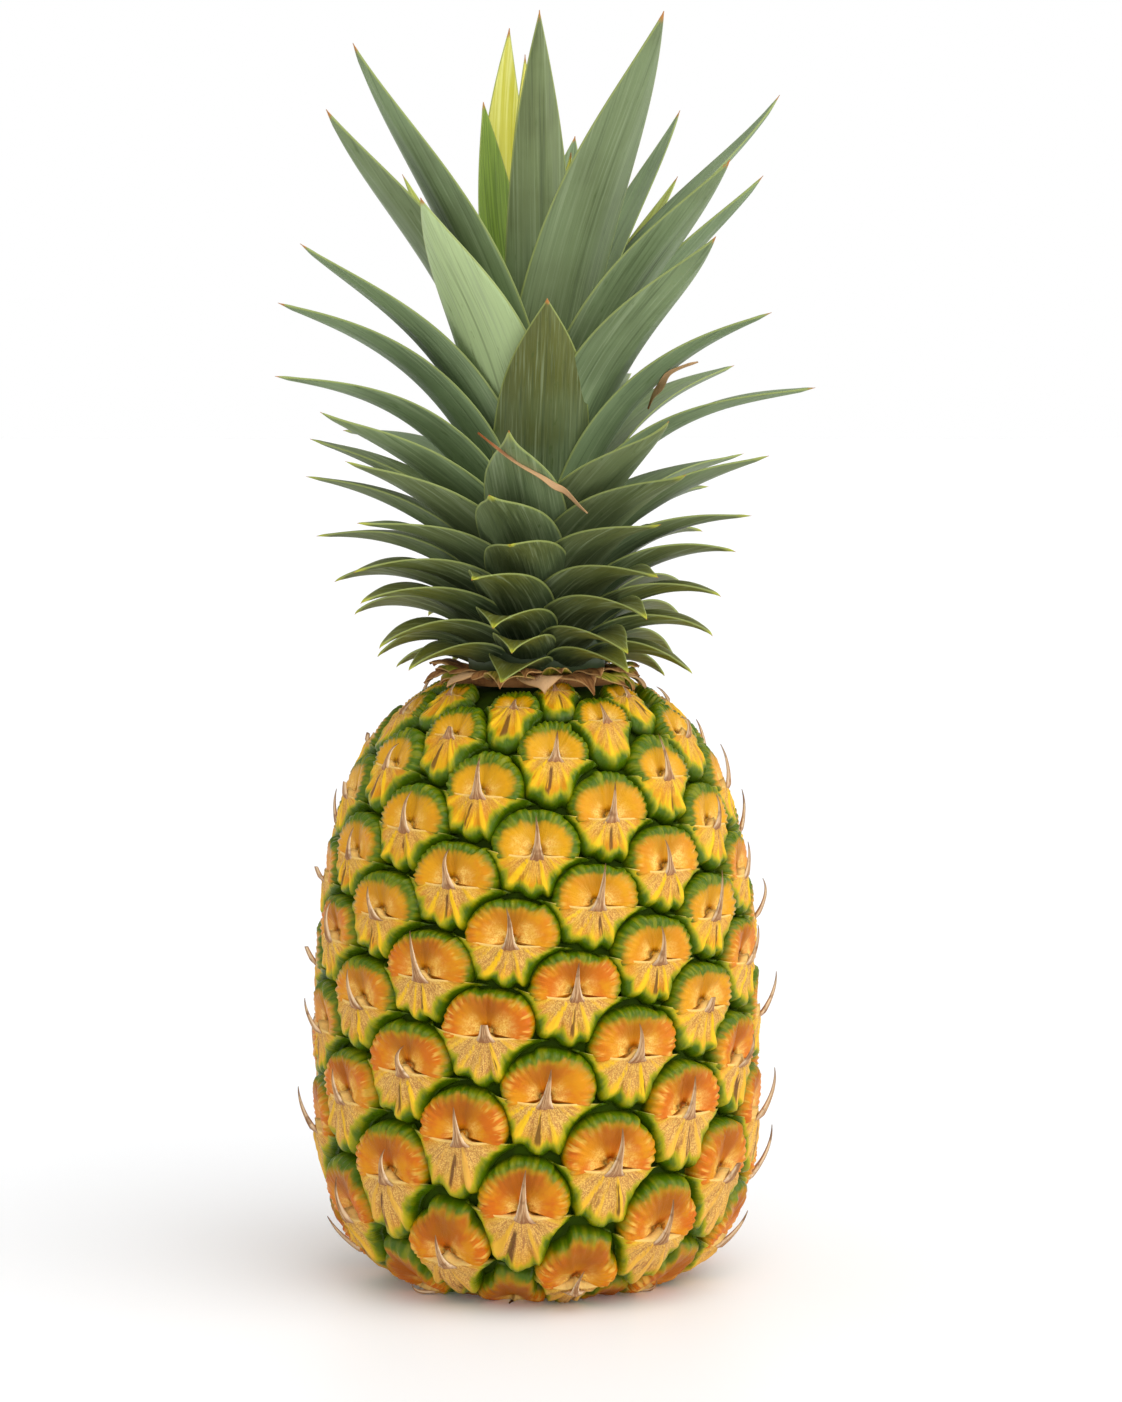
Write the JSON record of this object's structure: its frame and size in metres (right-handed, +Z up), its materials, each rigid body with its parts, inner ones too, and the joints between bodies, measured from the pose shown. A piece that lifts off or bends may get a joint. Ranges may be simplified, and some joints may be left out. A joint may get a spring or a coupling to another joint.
{
  "type": "pineapple",
  "caption": "Whole fresh pineapple standing on its base, with ripe scaly skin, dry spines and a full leafy crown.",
  "frame": {"origin": "middle of the cut stalk end, in the plane that the fruit stands on", "axes": "+Z up along the fruit and its crown, -Y towards the front"},
  "size_m": [0.1481, 0.136, 0.358],
  "materials": {
    "skin": "satin",
    "cut_stalk": "matte",
    "leaf": "satin",
    "young_leaf": "satin",
    "dry_bract": "matte"
  },
  "bodies": {
    "root": {"fruit": "skin", "stalk_end": "cut_stalk", "crown": "leaf", "heart_leaves": "young_leaf", "collar_bracts": "dry_bract"}
  },
  "joints": []
}
